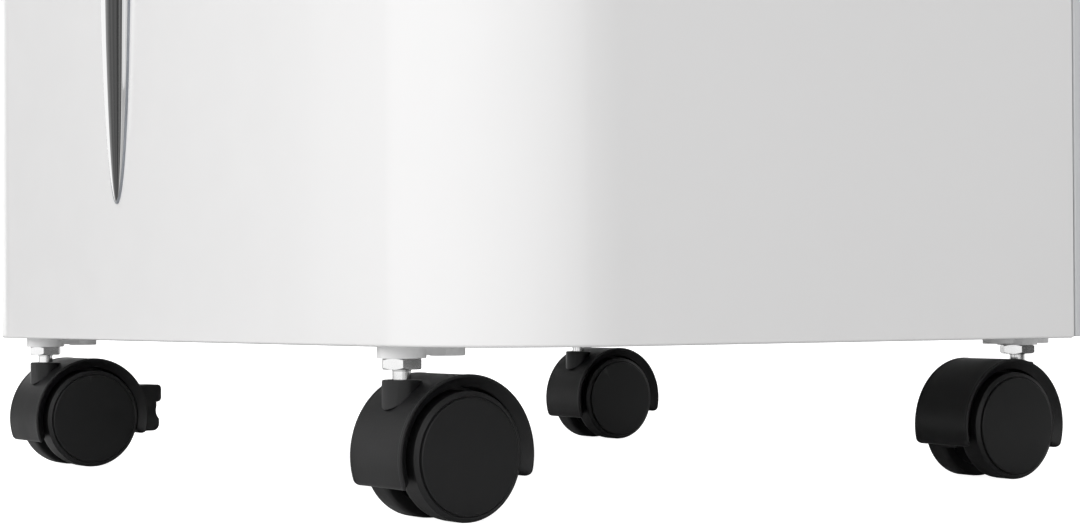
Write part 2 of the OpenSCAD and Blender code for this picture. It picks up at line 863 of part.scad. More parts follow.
module water_tank() {
    t = tank_wall;
    corner = 14;
    color([0.75, 0.8, 0.84, 0.8]) difference() {
        union() {
            translate([tank_x0, tank_y0, tank_z0])
                linear_extrude(tank_h) rounded(tank_w, tank_d - 1.5, corner);
            span([tank_x0 - bay_gap + face_gap, rear_y - face_t, tank_z0 - bay_gap + face_gap],
                 [tank_x1 + bay_gap - face_gap, rear_y, tank_z1 + 5]);
        }
        difference() {
            translate([tank_x0 + t, tank_y0 + t, tank_z0 + t])
                linear_extrude(tank_h) rounded(tank_w - 2 * t, tank_d - face_t - t - 1, corner - t);
            span([grip_x - grip_w / 2 - t, rear_y - grip_depth - t, grip_z0 - t],
                 [grip_x + grip_w / 2 + t, rear_y, grip_z0 + grip_h + t]);
            span([-case_w, rear_y - face_t, 0], [case_w, rear_y, case_h]);
        }
        span([grip_x - grip_w / 2, rear_y - grip_depth, grip_z0],
             [grip_x + grip_w / 2, rear_y + over, grip_z0 + grip_h]);
    }
}

module tank_lid() {
    ear = 3;
    color(pale_grey) difference() {
        union() {
            translate([tank_x0 + 1, tank_y0 + 1, tank_z1])
                linear_extrude(3) rounded(tank_w - 2, tank_d - face_t - 2, 12);
            for (x = [float_x - 22, float_x + 22 - ear]) {
                span([x, float_pivot_y - 5, float_pivot_z - 5],
                     [x + ear, float_pivot_y + 5, tank_z1 + over]);
            }
        }
        span([tray_hole[0] - 34, tray_hole[1] - 18, tank_z1 - over],
             [tray_hole[0] + 34, tray_hole[1] + 18, tank_z1 + 9]);
        translate([float_x - 30, float_pivot_y, float_pivot_z]) rotate([0, 90, 0])
            cylinder(r = float_pin_r + running, h = 60, $fn = 32);
    }
}

module tank_float() {
    ear = 3;
    gap = 0.5;
    half = 22 - ear - gap;
    color("white") translate([float_x, float_pivot_y, float_pivot_z]) {
        translate([-22, 0, 0]) rotate([0, 90, 0]) cylinder(r = float_pin_r, h = 44, $fn = 32);
        translate([-half, 0, 0]) rotate([0, 90, 0]) cylinder(r = 3.6, h = 2 * half);
        rotate([24, 0, 0]) span([-half, -32, -1.5], [half, 0, 1.5]);
        span([-17, -46, -44], [17, -12, -24]);
        span([-12, -32, -25], [12, -26, -11]);
    }
}

// ---- Casters ----

module caster_stems() {
    color("silver") at_stems() {
        translate([0, 0, pad_bottom]) cylinder(r = stud_r, h = boss_top - pad_bottom - 1.4);
        translate([0, 0, hex_z]) cylinder(r = hex_flats / sqrt(3), h = pad_bottom - hex_z, $fn = 6);
        translate([0, 0, pin_z]) cylinder(r = pin_r, h = hex_z - pin_z + over);
    }
}

// Places a caster part: the swivel axis is at the origin and the caster trails along +X.
module caster_place(x, y, angle) {
    translate([x, y, 0]) rotate([0, 0, angle]) children();
}

// A flat shape in the wheel's plane, thickened from one side distance to another.
module across(from, to) {
    rotate([90, 0, 0]) translate([0, 0, -to]) linear_extrude(to - from) children();
}

function on_wheel(radius, angle) = [trail + radius * cos(angle), wheel_r + radius * sin(angle)];

// The part of the plane between two directions from the axle, wide enough for the hood.
module sector(a0, a1, radius) {
    n = 8;
    polygon(concat([on_wheel(0, 0)],
        [for (i = [0 : n]) on_wheel(radius, a0 + (a1 - a0) * i / n)]));
}

module hood_band() {
    mid = (hood_out + hood_in) / 2;
    difference() {
        translate([trail, wheel_r]) circle(hood_out, $fn = 96);
        translate([trail, wheel_r]) circle(hood_in, $fn = 96);
        sector(hood_end, 360 + hood_start, 2 * hood_out);
    }
    for (a = [hood_start, hood_end]) translate(on_wheel(mid, a)) circle((hood_out - hood_in) / 2, $fn = 24);
}

module caster_hood(braked = false) {
    web_low = 12;
    color(soft_black) difference() {
        union() {
            across(-hood_half, hood_half) hood_band();
            across(-web_half, web_half) intersection() {
                translate([trail, wheel_r]) circle(hood_in + over);
                translate([trail - hood_out, web_low]) square([2 * hood_out, 40]);
            }
            difference() {
                translate([0, 0, 32]) cylinder(r = sleeve_r, h = sleeve_z - 32);
                across(-hood_out, hood_out) translate([trail, wheel_r]) circle(hood_in + over);
            }
        }
        translate([0, 0, pin_z - 2]) cylinder(r = pin_r + 0.05, h = 40);
        across(-hood_out, hood_out) translate([trail, wheel_r]) circle(axle_r);
        if (braked) {
            slot_half = lever_half + 0.4;
            span([trail + wheel_r - 3, -slot_half, 5], [60, slot_half, 34.5]);
            across(-slot_half - 1.7, slot_half + 1.7) translate(lever_pivot)
                circle(lever_pin_r + running, $fn = 24);
        }
    }
}

module caster_axle() {
    color("silver") across(-axle_half, axle_half) translate([trail, wheel_r]) circle(axle_r);
}

// One wheel: side is 1 for the wheel on the caster's left and -1 for its right.
module caster_wheel(side) {
    width = wheel_out - wheel_in;
    color(soft_black) translate([trail, 0, wheel_r]) rotate([side * -90, 0, 0])
        translate([0, 0, wheel_in]) rotate_extrude($fn = 96) difference() {
            polygon([[0, 0], [9, 0], [9, 1.6], [wheel_r - 4, 1.6], [wheel_r - 4, 0],
                [wheel_r - 1, 0], [wheel_r, 1], [wheel_r, width - 2.2],
                [wheel_r - 0.6, width - 1], [wheel_r - 1.6, width - 0.4],
                [wheel_r - 2.4, width - 0.7], [wheel_r - 3, width - 0.3], [0, width]]);
            translate([-over, -over]) square([axle_r + 0.05 + over, axle_half - wheel_in + 1.3]);
        }
}

module brake_lever() {
    color(soft_black) caster_place(-caster_x, front_stem_y, swivel_fl) {
        across(-lever_half, lever_half) difference() {
            union() {
                translate([36, 25.6]) rounded(13.9, 7.4, 1.8);
                translate([36, 15]) square([11.7, 15]);
                translate([36, 13.3]) rounded(12.9, 7.4, 3);
            }
            translate([trail, wheel_r]) circle(hood_in + 1.4, $fn = 96);
            translate([52.6, 22]) circle(5.2);
        }
        across(-lever_half - 1.5, lever_half + 1.5) translate(lever_pivot) circle(lever_pin_r, $fn = 24);
        across(-lever_half, lever_half) translate(lever_pivot) circle(2, $fn = 24);
    }
}

module caster_hood_fl() { caster_place(-caster_x, front_stem_y, swivel_fl) caster_hood(true); }
module caster_hood_fr() { caster_place(caster_x, front_stem_y, swivel_fr) caster_hood(); }
module caster_hood_rl() { caster_place(-caster_x, rear_stem_y, swivel_rl) caster_hood(); }
module caster_hood_rr() { caster_place(caster_x, rear_stem_y, swivel_rr) caster_hood(); }
module caster_axle_fl() { caster_place(-caster_x, front_stem_y, swivel_fl) caster_axle(); }
module caster_axle_fr() { caster_place(caster_x, front_stem_y, swivel_fr) caster_axle(); }
module caster_axle_rl() { caster_place(-caster_x, rear_stem_y, swivel_rl) caster_axle(); }
module caster_axle_rr() { caster_place(caster_x, rear_stem_y, swivel_rr) caster_axle(); }
module wheel_fl_left() { caster_place(-caster_x, front_stem_y, swivel_fl) caster_wheel(1); }
module wheel_fl_right() { caster_place(-caster_x, front_stem_y, swivel_fl) caster_wheel(-1); }
module wheel_fr_left() { caster_place(caster_x, front_stem_y, swivel_fr) caster_wheel(1); }
module wheel_fr_right() { caster_place(caster_x, front_stem_y, swivel_fr) caster_wheel(-1); }
module wheel_rl_left() { caster_place(-caster_x, rear_stem_y, swivel_rl) caster_wheel(1); }
module wheel_rl_right() { caster_place(-caster_x, rear_stem_y, swivel_rl) caster_wheel(-1); }
module wheel_rr_left() { caster_place(caster_x, rear_stem_y, swivel_rr) caster_wheel(1); }
module wheel_rr_right() { caster_place(caster_x, rear_stem_y, swivel_rr) caster_wheel(-1); }

front_shell();
rear_shell();
rear_corners();
base_pan();
top_cover();
inner_frame();
bay_walls();
filter_rails();
side_grips();
chrome_trim();
control_panel();
display_window();
rear_grille();
mains_gland();
drain_cup();
drain_spout();
drain_plug();
service_panel();
case_screws();
control_board();
tank_switch();
drip_tray();
evaporator();
condenser();
refrigerant_pipes();
compressor();
compressor_grommets();
fan_housing();
fan_motor();
motor_shaft();
fan_wheel();
air_filter();
louvre_front();
louvre_middle();
louvre_rear();
button_power();
button_mode();
button_speed();
button_timer();
water_tank();
tank_lid();
tank_float();
caster_stems();
caster_hood_fl();
caster_hood_fr();
caster_hood_rl();
caster_hood_rr();
caster_axle_fl();
caster_axle_fr();
caster_axle_rl();
caster_axle_rr();
wheel_fl_left();
wheel_fl_right();
wheel_fr_left();
wheel_fr_right();
wheel_rl_left();
wheel_rl_right();
wheel_rr_left();
wheel_rr_right();
brake_lever();
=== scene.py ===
import json
import math

import bmesh
import bpy
from mathutils import Matrix, Vector


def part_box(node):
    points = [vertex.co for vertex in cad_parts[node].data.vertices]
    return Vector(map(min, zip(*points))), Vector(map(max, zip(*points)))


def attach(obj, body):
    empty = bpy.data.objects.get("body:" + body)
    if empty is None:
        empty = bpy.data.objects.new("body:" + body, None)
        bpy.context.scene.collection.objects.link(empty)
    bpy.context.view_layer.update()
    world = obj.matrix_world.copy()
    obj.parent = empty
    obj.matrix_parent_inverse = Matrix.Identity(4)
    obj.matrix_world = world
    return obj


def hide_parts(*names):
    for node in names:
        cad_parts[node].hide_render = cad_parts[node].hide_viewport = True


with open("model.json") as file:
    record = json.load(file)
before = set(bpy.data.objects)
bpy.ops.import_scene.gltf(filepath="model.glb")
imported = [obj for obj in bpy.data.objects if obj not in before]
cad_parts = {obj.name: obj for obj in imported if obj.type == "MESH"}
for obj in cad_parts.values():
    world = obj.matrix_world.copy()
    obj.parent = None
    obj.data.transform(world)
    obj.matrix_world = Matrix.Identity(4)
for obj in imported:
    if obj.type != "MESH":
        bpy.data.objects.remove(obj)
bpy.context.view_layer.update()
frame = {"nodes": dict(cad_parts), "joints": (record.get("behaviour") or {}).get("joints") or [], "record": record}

MM = 0.001
record = frame["record"]
joints = {j["name"]: j for j in frame["joints"]}
slots = {s["node"]: s["material_slot"] for s in record["subparts"]}
body_of = {node: body for body, nodes in record["behaviour"]["bodies"].items() for node in nodes}
corners = {node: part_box(node) for node in frame["nodes"]}


# ---------------------------------------------------------------- materials

class Shader:
    """A Principled material with a few helpers for procedural detail."""

    def __init__(self, name, colour, roughness, metallic=0.0):
        self.material = bpy.data.materials.new(name)
        self.material.use_nodes = True
        self.tree = self.material.node_tree
        self.bsdf = self.tree.nodes["Principled BSDF"]
        self.bsdf.inputs["Base Color"].default_value = (*colour, 1)
        self.bsdf.inputs["Roughness"].default_value = roughness
        self.bsdf.inputs["Metallic"].default_value = metallic
        self.colour = colour
        self.roughness = roughness
        self.coords = self.tree.nodes.new("ShaderNodeTexCoord").outputs["Object"]
        self.material.diffuse_color = (*colour, 1)

    def link(self, source, target):
        self.tree.links.new(source, target)

    def noise(self, scale, detail=3.0, stretch=(1, 1, 1)):
        mapping = self.tree.nodes.new("ShaderNodeMapping")
        mapping.inputs["Scale"].default_value = stretch
        self.link(self.coords, mapping.inputs["Vector"])
        texture = self.tree.nodes.new("ShaderNodeTexNoise")
        texture.inputs["Scale"].default_value = scale
        texture.inputs["Detail"].default_value = detail
        self.link(mapping.outputs["Vector"], texture.inputs["Vector"])
        return texture.outputs["Fac"]

    def spread(self, value, low, high, start=0.3, end=0.7):
        node = self.tree.nodes.new("ShaderNodeMapRange")
        node.inputs["From Min"].default_value = start
        node.inputs["From Max"].default_value = end
        node.inputs["To Min"].default_value = low
        node.inputs["To Max"].default_value = high
        self.link(value, node.inputs["Value"])
        return node.outputs["Result"]

    def vary_colour(self, factor, dark, light):
        """Mixes two tints of the base colour by a factor; a painted highlight on the sharpest edges can go on top.
        """
        mix = self.tree.nodes.new("ShaderNodeMix")
        mix.data_type = "RGBA"
        mix.inputs["A"].default_value = (*[c * dark for c in self.colour], 1)
        mix.inputs["B"].default_value = (*[min(1, c * light) for c in self.colour], 1)
        self.link(factor, mix.inputs["Factor"])
        self.colour_out = mix.outputs["Result"]
        self.link(self.colour_out, self.bsdf.inputs["Base Color"])

    def painted_edge_highlight(self, tint, amount):
        """Lightens the sharpest outer edges: a painted highlight along the rims."""
        geometry = self.tree.nodes.new("ShaderNodeNewGeometry")
        edge = self.spread(geometry.outputs["Pointiness"], 0.0, amount, 0.53, 0.62)
        mix = self.tree.nodes.new("ShaderNodeMix")
        mix.data_type = "RGBA"
        mix.inputs["B"].default_value = (*tint, 1)
        self.link(edge, mix.inputs["Factor"])
        self.link(self.colour_out, mix.inputs["A"])
        self.link(mix.outputs["Result"], self.bsdf.inputs["Base Color"])

    def vary_roughness(self, factor, spread):
        low = max(0.02, self.roughness - spread)
        self.link(self.spread(factor, low, self.roughness + spread), self.bsdf.inputs["Roughness"])

    def bump(self, height, strength, distance):
        node = self.tree.nodes.new("ShaderNodeBump")
        node.inputs["Strength"].default_value = strength
        node.inputs["Distance"].default_value = distance
        self.link(height, node.inputs["Height"])
        self.link(node.outputs["Normal"], self.bsdf.inputs["Normal"])


def moulded(name, colour, roughness, grain, grain_depth, coat=0.0, tint=0.03, painted_edge_highlight=0.0, gloss=0.5):
    """A moulded plastic: faint flow tints, uneven gloss and a spark-eroded grain."""
    s = Shader(name, colour, roughness)
    s.vary_colour(s.spread(s.noise(9.0, 4.0), 0.0, 1.0), 1 - tint, 1 + tint)
    s.vary_roughness(s.noise(60.0, 2.0), roughness * 0.18)
    s.bump(s.noise(grain, 2.0), 0.35, grain_depth)
    s.bsdf.inputs["Specular IOR Level"].default_value = gloss
    s.bsdf.inputs["Coat Weight"].default_value = coat
    s.bsdf.inputs["Coat Roughness"].default_value = 0.06
    # paler sharp edges: a painted highlight along the rims
    if painted_edge_highlight:
        s.painted_edge_highlight([min(1, c + 0.12) for c in colour], painted_edge_highlight)
    return s.material


def metal(name, colour, roughness, scale, stretch=(1, 1, 1), depth=2e-5, tint=0.08):
    """A bare or plated metal with streaks along one axis and small stains."""
    s = Shader(name, colour, roughness, 1.0)
    s.vary_colour(s.spread(s.noise(scale, 5.0, stretch), 0.0, 1.0), 1 - tint, 1 + tint * 0.5)
    s.vary_roughness(s.noise(scale * 0.4, 3.0), roughness * 0.35)
    s.bump(s.noise(scale * 2, 2.0, stretch), 0.3, depth)
    return s.material


def clear(name, colour, roughness, transmission, ior=1.5):
    """A see-through plastic with faint ripples from moulding."""
    s = Shader(name, colour, roughness)
    s.vary_colour(s.spread(s.noise(14.0, 3.0), 0.0, 1.0), 0.96, 1.02)
    s.vary_roughness(s.noise(90.0, 2.0), roughness * 0.25)
    s.bump(s.noise(25.0, 2.0), 0.15, 2e-4)
    s.bsdf.inputs["Transmission Weight"].default_value = transmission
    s.bsdf.inputs["IOR"].default_value = ior
    return s.material


def glow(name, colour, strength):
    s = Shader(name, colour, 0.5)
    s.vary_colour(s.spread(s.noise(400.0, 1.0), 0.0, 1.0), 0.92, 1.0)
    s.bsdf.inputs["Emission Color"].default_value = (*colour, 1)
    s.bsdf.inputs["Emission Strength"].default_value = strength
    return s.material


materials = {
    "white_gloss": moulded("white_gloss", (0.89, 0.885, 0.885), 0.2, 300, 1.5e-5, coat=0.3, tint=0.004),
    "grey_plastic": moulded("grey_plastic", (0.66, 0.67, 0.68), 0.42, 900, 5e-5, tint=0.02),
    "pan_plastic": moulded("pan_plastic", (0.93, 0.93, 0.93), 0.38, 900, 4e-5, tint=0.015),
    # the black plastics get a painted highlight along their sharp edges
    "black_plastic": moulded("black_plastic", (0.0105, 0.0105, 0.011), 0.36, 1100, 6e-5,
                             tint=0.15, painted_edge_highlight=0.15, gloss=0.34),
    "black_wheel": moulded("black_wheel", (0.0095, 0.0095, 0.010), 0.40, 1300, 5e-5,
                           tint=0.2, painted_edge_highlight=0.15, gloss=0.36),
    "gloss_black": moulded("gloss_black", (0.010, 0.010, 0.011), 0.16, 200, 1e-5, coat=0.25, tint=0.1),
    "display_glass": clear("display_glass", (0.03, 0.04, 0.05), 0.06, 0.4),
    "chrome": metal("chrome", (0.72, 0.72, 0.72), 0.045, 60, (1, 1, 0.04), depth=1.0e-5, tint=0.05),
    "zinc_steel": metal("zinc_steel", (0.86, 0.86, 0.86), 0.10, 160, (1, 1, 0.2), depth=4e-6, tint=0.04),
    "seal_rubber": moulded("seal_rubber", (0.02, 0.02, 0.021), 0.7, 700, 1e-4, tint=0.2),
    "circuit_board": moulded("circuit_board", (0.02, 0.12, 0.05), 0.35, 500, 4e-5, coat=0.4, tint=0.15),
    "coil_aluminium": metal("coil_aluminium", (0.74, 0.75, 0.77), 0.34, 180, (1, 0.2, 1)),
    "copper_pipe": metal("copper_pipe", (0.70, 0.33, 0.19), 0.28, 140, tint=0.2),
    "black_steel": moulded("black_steel", (0.018, 0.018, 0.019), 0.3, 600, 6e-5, coat=0.5, tint=0.15),
    "motor_steel": metal("motor_steel", (0.34, 0.36, 0.39), 0.45, 200),
    "tank_clear": clear("tank_clear", (0.80, 0.83, 0.85), 0.3, 0.3),
    "display_light": glow("display_light", (0.55, 0.85, 1.0), 2.5),
}


# ---------------------------------------------------------------- mesh tools

SHARP = math.radians(32)


def is_sharp(edge, limit=SHARP):
    return len(edge.link_faces) == 2 and edge.calc_face_angle(0) > limit


def round_edges(bm, width, segments=2, limit=SHARP, keep=None):
    """Rounds every sharp edge of a mesh, or the ones that keep() picks."""
    edges = [e for e in bm.edges if is_sharp(e, limit) and (keep is None or keep(e))]
    if edges and width:
        bmesh.ops.bevel(bm, geom=edges, offset=width, segments=segments, profile=0.5,
                        affect="EDGES", clamp_overlap=True)


def flatten(bm):
    """Joins the triangles of each flat face, so that bevels run along true edges."""
    bmesh.ops.remove_doubles(bm, verts=bm.verts, dist=2e-6)
    bmesh.ops.dissolve_limit(bm, angle_limit=math.radians(0.6), verts=bm.verts, edges=bm.edges)


def piece(name, bm, body, slot, nodes=(), material=None, matrix=None):
    """Makes the finished object from a mesh: shading, material, body, slot and what it replaces."""
    if matrix is not None:
        bmesh.ops.transform(bm, matrix=matrix, verts=bm.verts)
    bmesh.ops.recalc_face_normals(bm, faces=bm.faces)
    mesh = bpy.data.meshes.new(name)
    bm.to_mesh(mesh)
    bm.free()
    mesh.shade_smooth()
    mesh.set_sharp_from_angle(angle=SHARP)
    mesh.materials.append(materials[material or slot])
    item = bpy.data.objects.new(name, mesh)
    bpy.context.scene.collection.objects.link(item)
    weigh = item.modifiers.new("even_normals", "WEIGHTED_NORMAL")
    weigh.keep_sharp = True
    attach(item, body)
    if nodes:
        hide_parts(*nodes)
    return item


def box_mesh(low, high, bm=None):
    bm = bm or bmesh.new()
    low, high = Vector(low), Vector(high)
    made = bmesh.ops.create_cube(bm, size=1)["verts"]
    size = high - low
    for v in made:
        v.co = Vector((low[i] + (v.co[i] + 0.5) * size[i] for i in range(3)))
    return bm


def rings_mesh(rings, closed=False, bm=None):
    """Joins rings of equal length into a skin, capped at both ends unless it is closed on itself."""
    bm = bm or bmesh.new()
    rows = [[bm.verts.new(p) for p in ring] for ring in rings]
    count = len(rows[0])
    pairs = list(zip(rows, rows[1:])) + ([(rows[-1], rows[0])] if closed else [])
    for a, b in pairs:
        for i in range(count):
            j = (i + 1) % count
            bm.faces.new((a[i], a[j], b[j], b[i]))
    if not closed:
        bm.faces.new(list(reversed(rows[0])))
        bm.faces.new(rows[-1])
    return bm


def lathe(profile, steps=96, bm=None):
    """Turns a profile of (radius, height) points round Z. A radius of 0 at an end closes it."""
    bm = bm or bmesh.new()
    rows = []
    for radius, height in profile:
        if radius < 1e-9:
            rows.append([bm.verts.new((0, 0, height))])
            continue
        rows.append([bm.verts.new((radius * math.cos(2 * math.pi * i / steps),
                                   radius * math.sin(2 * math.pi * i / steps), height))
                     for i in range(steps)])
    for a, b in zip(rows, rows[1:]):
        for i in range(steps):
            j = (i + 1) % steps
            corners_ = [a[i % len(a)], a[j % len(a)], b[j % len(b)], b[i % len(b)]]
            ring = list(dict.fromkeys(corners_))
            if len(ring) > 2:
                bm.faces.new(ring)
    for row, flip in ((rows[0], True), (rows[-1], False)):
        if len(row) > 1 and rows[0] is not rows[-1]:
            bm.faces.new(list(reversed(row)) if flip else row)
    return bm


def slab(outline, low, high, bm=None):
    """Extrudes a flat (x, y) outline from one height to another."""
    return rings_mesh([[(x, y, z) for x, y in outline] for z in (low, high)], bm=bm)


def arc(centre, radius, start, end, steps):
    """Points on an arc in degrees, both ends included."""
    return [(centre[0] + radius * math.cos(math.radians(start + (end - start) * i / steps)),
             centre[1] + radius * math.sin(math.radians(start + (end - start) * i / steps)))
            for i in range(steps + 1)]


def rounded_outline(low, high, radius, steps=6):
    (x0, y0), (x1, y1) = low, high
    r = radius
    return (arc((x1 - r, y0 + r), r, -90, 0, steps) + arc((x1 - r, y1 - r), r, 0, 90, steps)
            + arc((x0 + r, y1 - r), r, 90, 180, steps) + arc((x0 + r, y0 + r), r, 180, 270, steps))


def temporary(bm):
    mesh = bpy.data.meshes.new("temporary")
    bmesh.ops.recalc_face_normals(bm, faces=bm.faces)
    bm.to_mesh(mesh)
    bm.free()
    item = bpy.data.objects.new("temporary", mesh)
    bpy.context.scene.collection.objects.link(item)
    return item


def combine(base, tools, operation):
    """Adds, cuts or keeps the overlap of meshes and returns the new mesh."""
    target = temporary(base)
    helpers = [temporary(tool) for tool in tools]
    for helper in helpers:
        step = target.modifiers.new("step", "BOOLEAN")
        step.operation = operation
        step.solver = "EXACT"
        step.object = helper
    graph = bpy.context.evaluated_depsgraph_get()
    result = bmesh.new()
    result.from_mesh(target.evaluated_get(graph).to_mesh())
    for item in [target] + helpers:
        mesh = item.data
        bpy.data.objects.remove(item)
        bpy.data.meshes.remove(mesh)
    bmesh.ops.remove_doubles(result, verts=result.verts, dist=1e-6)
    return result


def gather(whole, bm):
    """Moves one mesh into a larger one."""
    mesh = bpy.data.meshes.new("temporary")
    bm.to_mesh(mesh)
    bm.free()
    whole.from_mesh(mesh)
    bpy.data.meshes.remove(mesh)


# CAD nodes whose finish isn't the one of their slot's name
FINISHES = {"base_pan": "pan_plastic"}


def refine(node, width=0.4, segments=2, material=None, name=None):
    """A finished copy of a CAD node: flat faces joined, edges rounded, its own material."""
    bm = bmesh.new()
    bm.from_mesh(frame["nodes"][node].data)
    flatten(bm)
    round_edges(bm, width * MM, segments)
    return piece(name or node + "_skin", bm, body_of[node], slots[node], (node,),
                 material or FINISHES.get(node))


# ---------------------------------------------------------------- camera

camera = bpy.data.objects.new("camera", bpy.data.cameras.new("camera"))
bpy.context.scene.collection.objects.link(camera)
bpy.context.scene.camera = camera
camera.data.sensor_width = 36
camera.data.lens = 67.08
camera.data.shift_y = 0.025
STAND = Vector((0.6605, -0.4756, 0.0648))
LOOK = Vector((-0.8119, 0.5837, -0.0055))
ROLL = math.radians(-0.30)
TILT = math.radians(0.805)
camera.rotation_mode = "QUATERNION"
camera.location = STAND
camera.rotation_quaternion = (LOOK.to_track_quat("-Z", "Y") @ Matrix.Rotation(ROLL, 3, "Z").to_quaternion()
                              @ Matrix.Rotation(TILT, 3, "X").to_quaternion())


# ---------------------------------------------------------------- studio

def seen_by_camera(tree, shown, other):
    """Picks one value for what the camera sees directly and another for the light it gives."""
    path = tree.nodes.new("ShaderNodeLightPath")
    pick = tree.nodes.new("ShaderNodeMapRange")
    pick.inputs["To Min"].default_value = other
    pick.inputs["To Max"].default_value = shown
    tree.links.new(path.outputs["Is Camera Ray"], pick.inputs["Value"])
    return pick.outputs["Result"]


def studio():
    floor = temporary(box_mesh((-4, -4, -0.02), (4, 4, 0)))
    floor.name = "studio_floor"
    paper = Shader("studio_paper", (0.62, 0.62, 0.62), 0.9)
    paper.vary_colour(paper.spread(paper.noise(3.0), 0.0, 1.0), 0.99, 1.0)
    paper.bsdf.inputs["Specular IOR Level"].default_value = 0.0
    paper.bsdf.inputs["Emission Color"].default_value = (1, 1, 1, 1)
    paper.link(seen_by_camera(paper.tree, 0.95, 0.0), paper.bsdf.inputs["Emission Strength"])
    floor.data.materials.append(paper.material)
    world = bpy.data.worlds.new("studio_world")
    bpy.context.scene.world = world
    world.use_nodes = True
    sky = world.node_tree.nodes["Background"]
    sky.inputs["Color"].default_value = (1, 1, 1, 1)
    world.node_tree.links.new(seen_by_camera(world.node_tree, 1.1, 0.83), sky.inputs["Strength"])
    bpy.context.scene.view_settings.view_transform = "Standard"


def around(azimuth, height, distance):
    """A place round the object. Azimuth 0 stands in front of it, 90 on its right."""
    a = math.radians(azimuth)
    return Vector((distance * math.sin(a), -distance * math.cos(a), height))


def area_light(name, azimuth, height, distance, width, tall, power, aim=(0, 0, 0.25)):
    data = bpy.data.lights.new(name, "AREA")
    data.shape = "RECTANGLE"
    data.size = width
    data.size_y = tall
    data.energy = power
    lamp = bpy.data.objects.new(name, data)
    lamp.location = around(azimuth, height, distance)
    lamp.rotation_mode = "QUATERNION"
    lamp.rotation_quaternion = (Vector(aim) - lamp.location).to_track_quat("-Z", "Y")
    lamp.visible_camera = False
    lamp.visible_glossy = False
    bpy.context.scene.collection.objects.link(lamp)


def card(name, start, end, low, high, distance, level):
    """A curved card of even brightness that only shows in reflections, from one azimuth to another."""
    steps = 12
    turns = [start + (end - start) * i / steps for i in range(steps + 1)]
    bm = bmesh.new()
    rows = [[bm.verts.new(around(t, z, distance)) for t in turns] for z in (low, high)]
    for i in range(steps):
        bm.faces.new((rows[0][i], rows[0][i + 1], rows[1][i + 1], rows[1][i]))
    item = temporary(bm)
    item.name = name
    paint = Shader(name, (0, 0, 0), 1.0)
    paint.bsdf.inputs["Specular IOR Level"].default_value = 0.0
    paint.bsdf.inputs["Emission Color"].default_value = (1, 1, 1, 1)
    paint.bsdf.inputs["Emission Strength"].default_value = level
    item.data.materials.append(paint.material)
    for ray in ("camera", "diffuse", "transmission", "volume_scatter", "shadow"):
        setattr(item, "visible_" + ray, False)


studio()
area_light("key", 16, 1.15, 1.9, 1.5, 1.5, 15.5)
area_light("left", -88, 0.8, 2.2, 1.2, 1.6, 5)

CARD_FAR = 3.0
CARD_NEAR = 1.4
NEAR_HEIGHTS = (0.0, 0.14)
card("bright_card_far_left", -114, -80, -0.1, 2.0, CARD_FAR, 1.2)
# Where each strip starts and how bright it is: they make the streaks in the blade.
DARK_STRIPS = ((-79, 0.36), (-75, 0.30), (-74, 0.18), (-72.5, 0.11), (-71, 0.14), (-69.5, 0.10),
               (-68, 0.12), (-66, 0.055), (-65, 0.07), (-64.2, 0.20), (-63, 0.13), (-62, 0.16), (-57, 0))
for (strip_start, strip_level), (strip_end, _) in zip(DARK_STRIPS, DARK_STRIPS[1:]):
    card(f"dark_strip_{-strip_end * 10:.0f}", strip_start, strip_end, -0.3, 2.4, CARD_FAR, strip_level)
card("bright_card", -52, 80, -0.1, 2.0, CARD_FAR, 1.06)
card("dark_card_right", 96, 150, -0.1, 1.4, CARD_FAR, 0.12)
card("low_bright_card", -45, 62, *NEAR_HEIGHTS, CARD_NEAR, 1.15)
card("low_dark_card", 98, 150, *NEAR_HEIGHTS, CARD_NEAR, 0.05)


# ---------------------------------------------------------------- casters

def caster_matrix(corner):
    """Where a caster stands: its swivel axis, turned so that +X is the way it trails."""
    x, y, _ = joints["swivel_" + corner]["pos_m"]
    ax, ay, _ = joints["roll_" + corner + "_left"]["axis"]
    return Matrix.Translation((x, y, 0)) @ Matrix.Rotation(math.atan2(-ax, ay), 4, "Z")


swivel = Vector(joints["swivel_fl"]["pos_m"][:2])
axle = Vector(joints["roll_fl_left"]["pos_m"])
TRAIL = (Vector(axle[:2]) - swivel).length
AXLE_Z = axle.z
WHEEL_R = AXLE_Z
HOOD_OUT = 25 * MM
HOOD_IN = 21.2 * MM
HOOD_HALF = 13.9 * MM
HOOD_FROM = -13
HOOD_TO = 198
WEB_HALF = 4.2 * MM
SLEEVE_R = 5.8 * MM
SLEEVE_TOP = 43.4 * MM
WHEEL_FACE = 15.4 * MM
WHEEL_BACK = 4.7 * MM


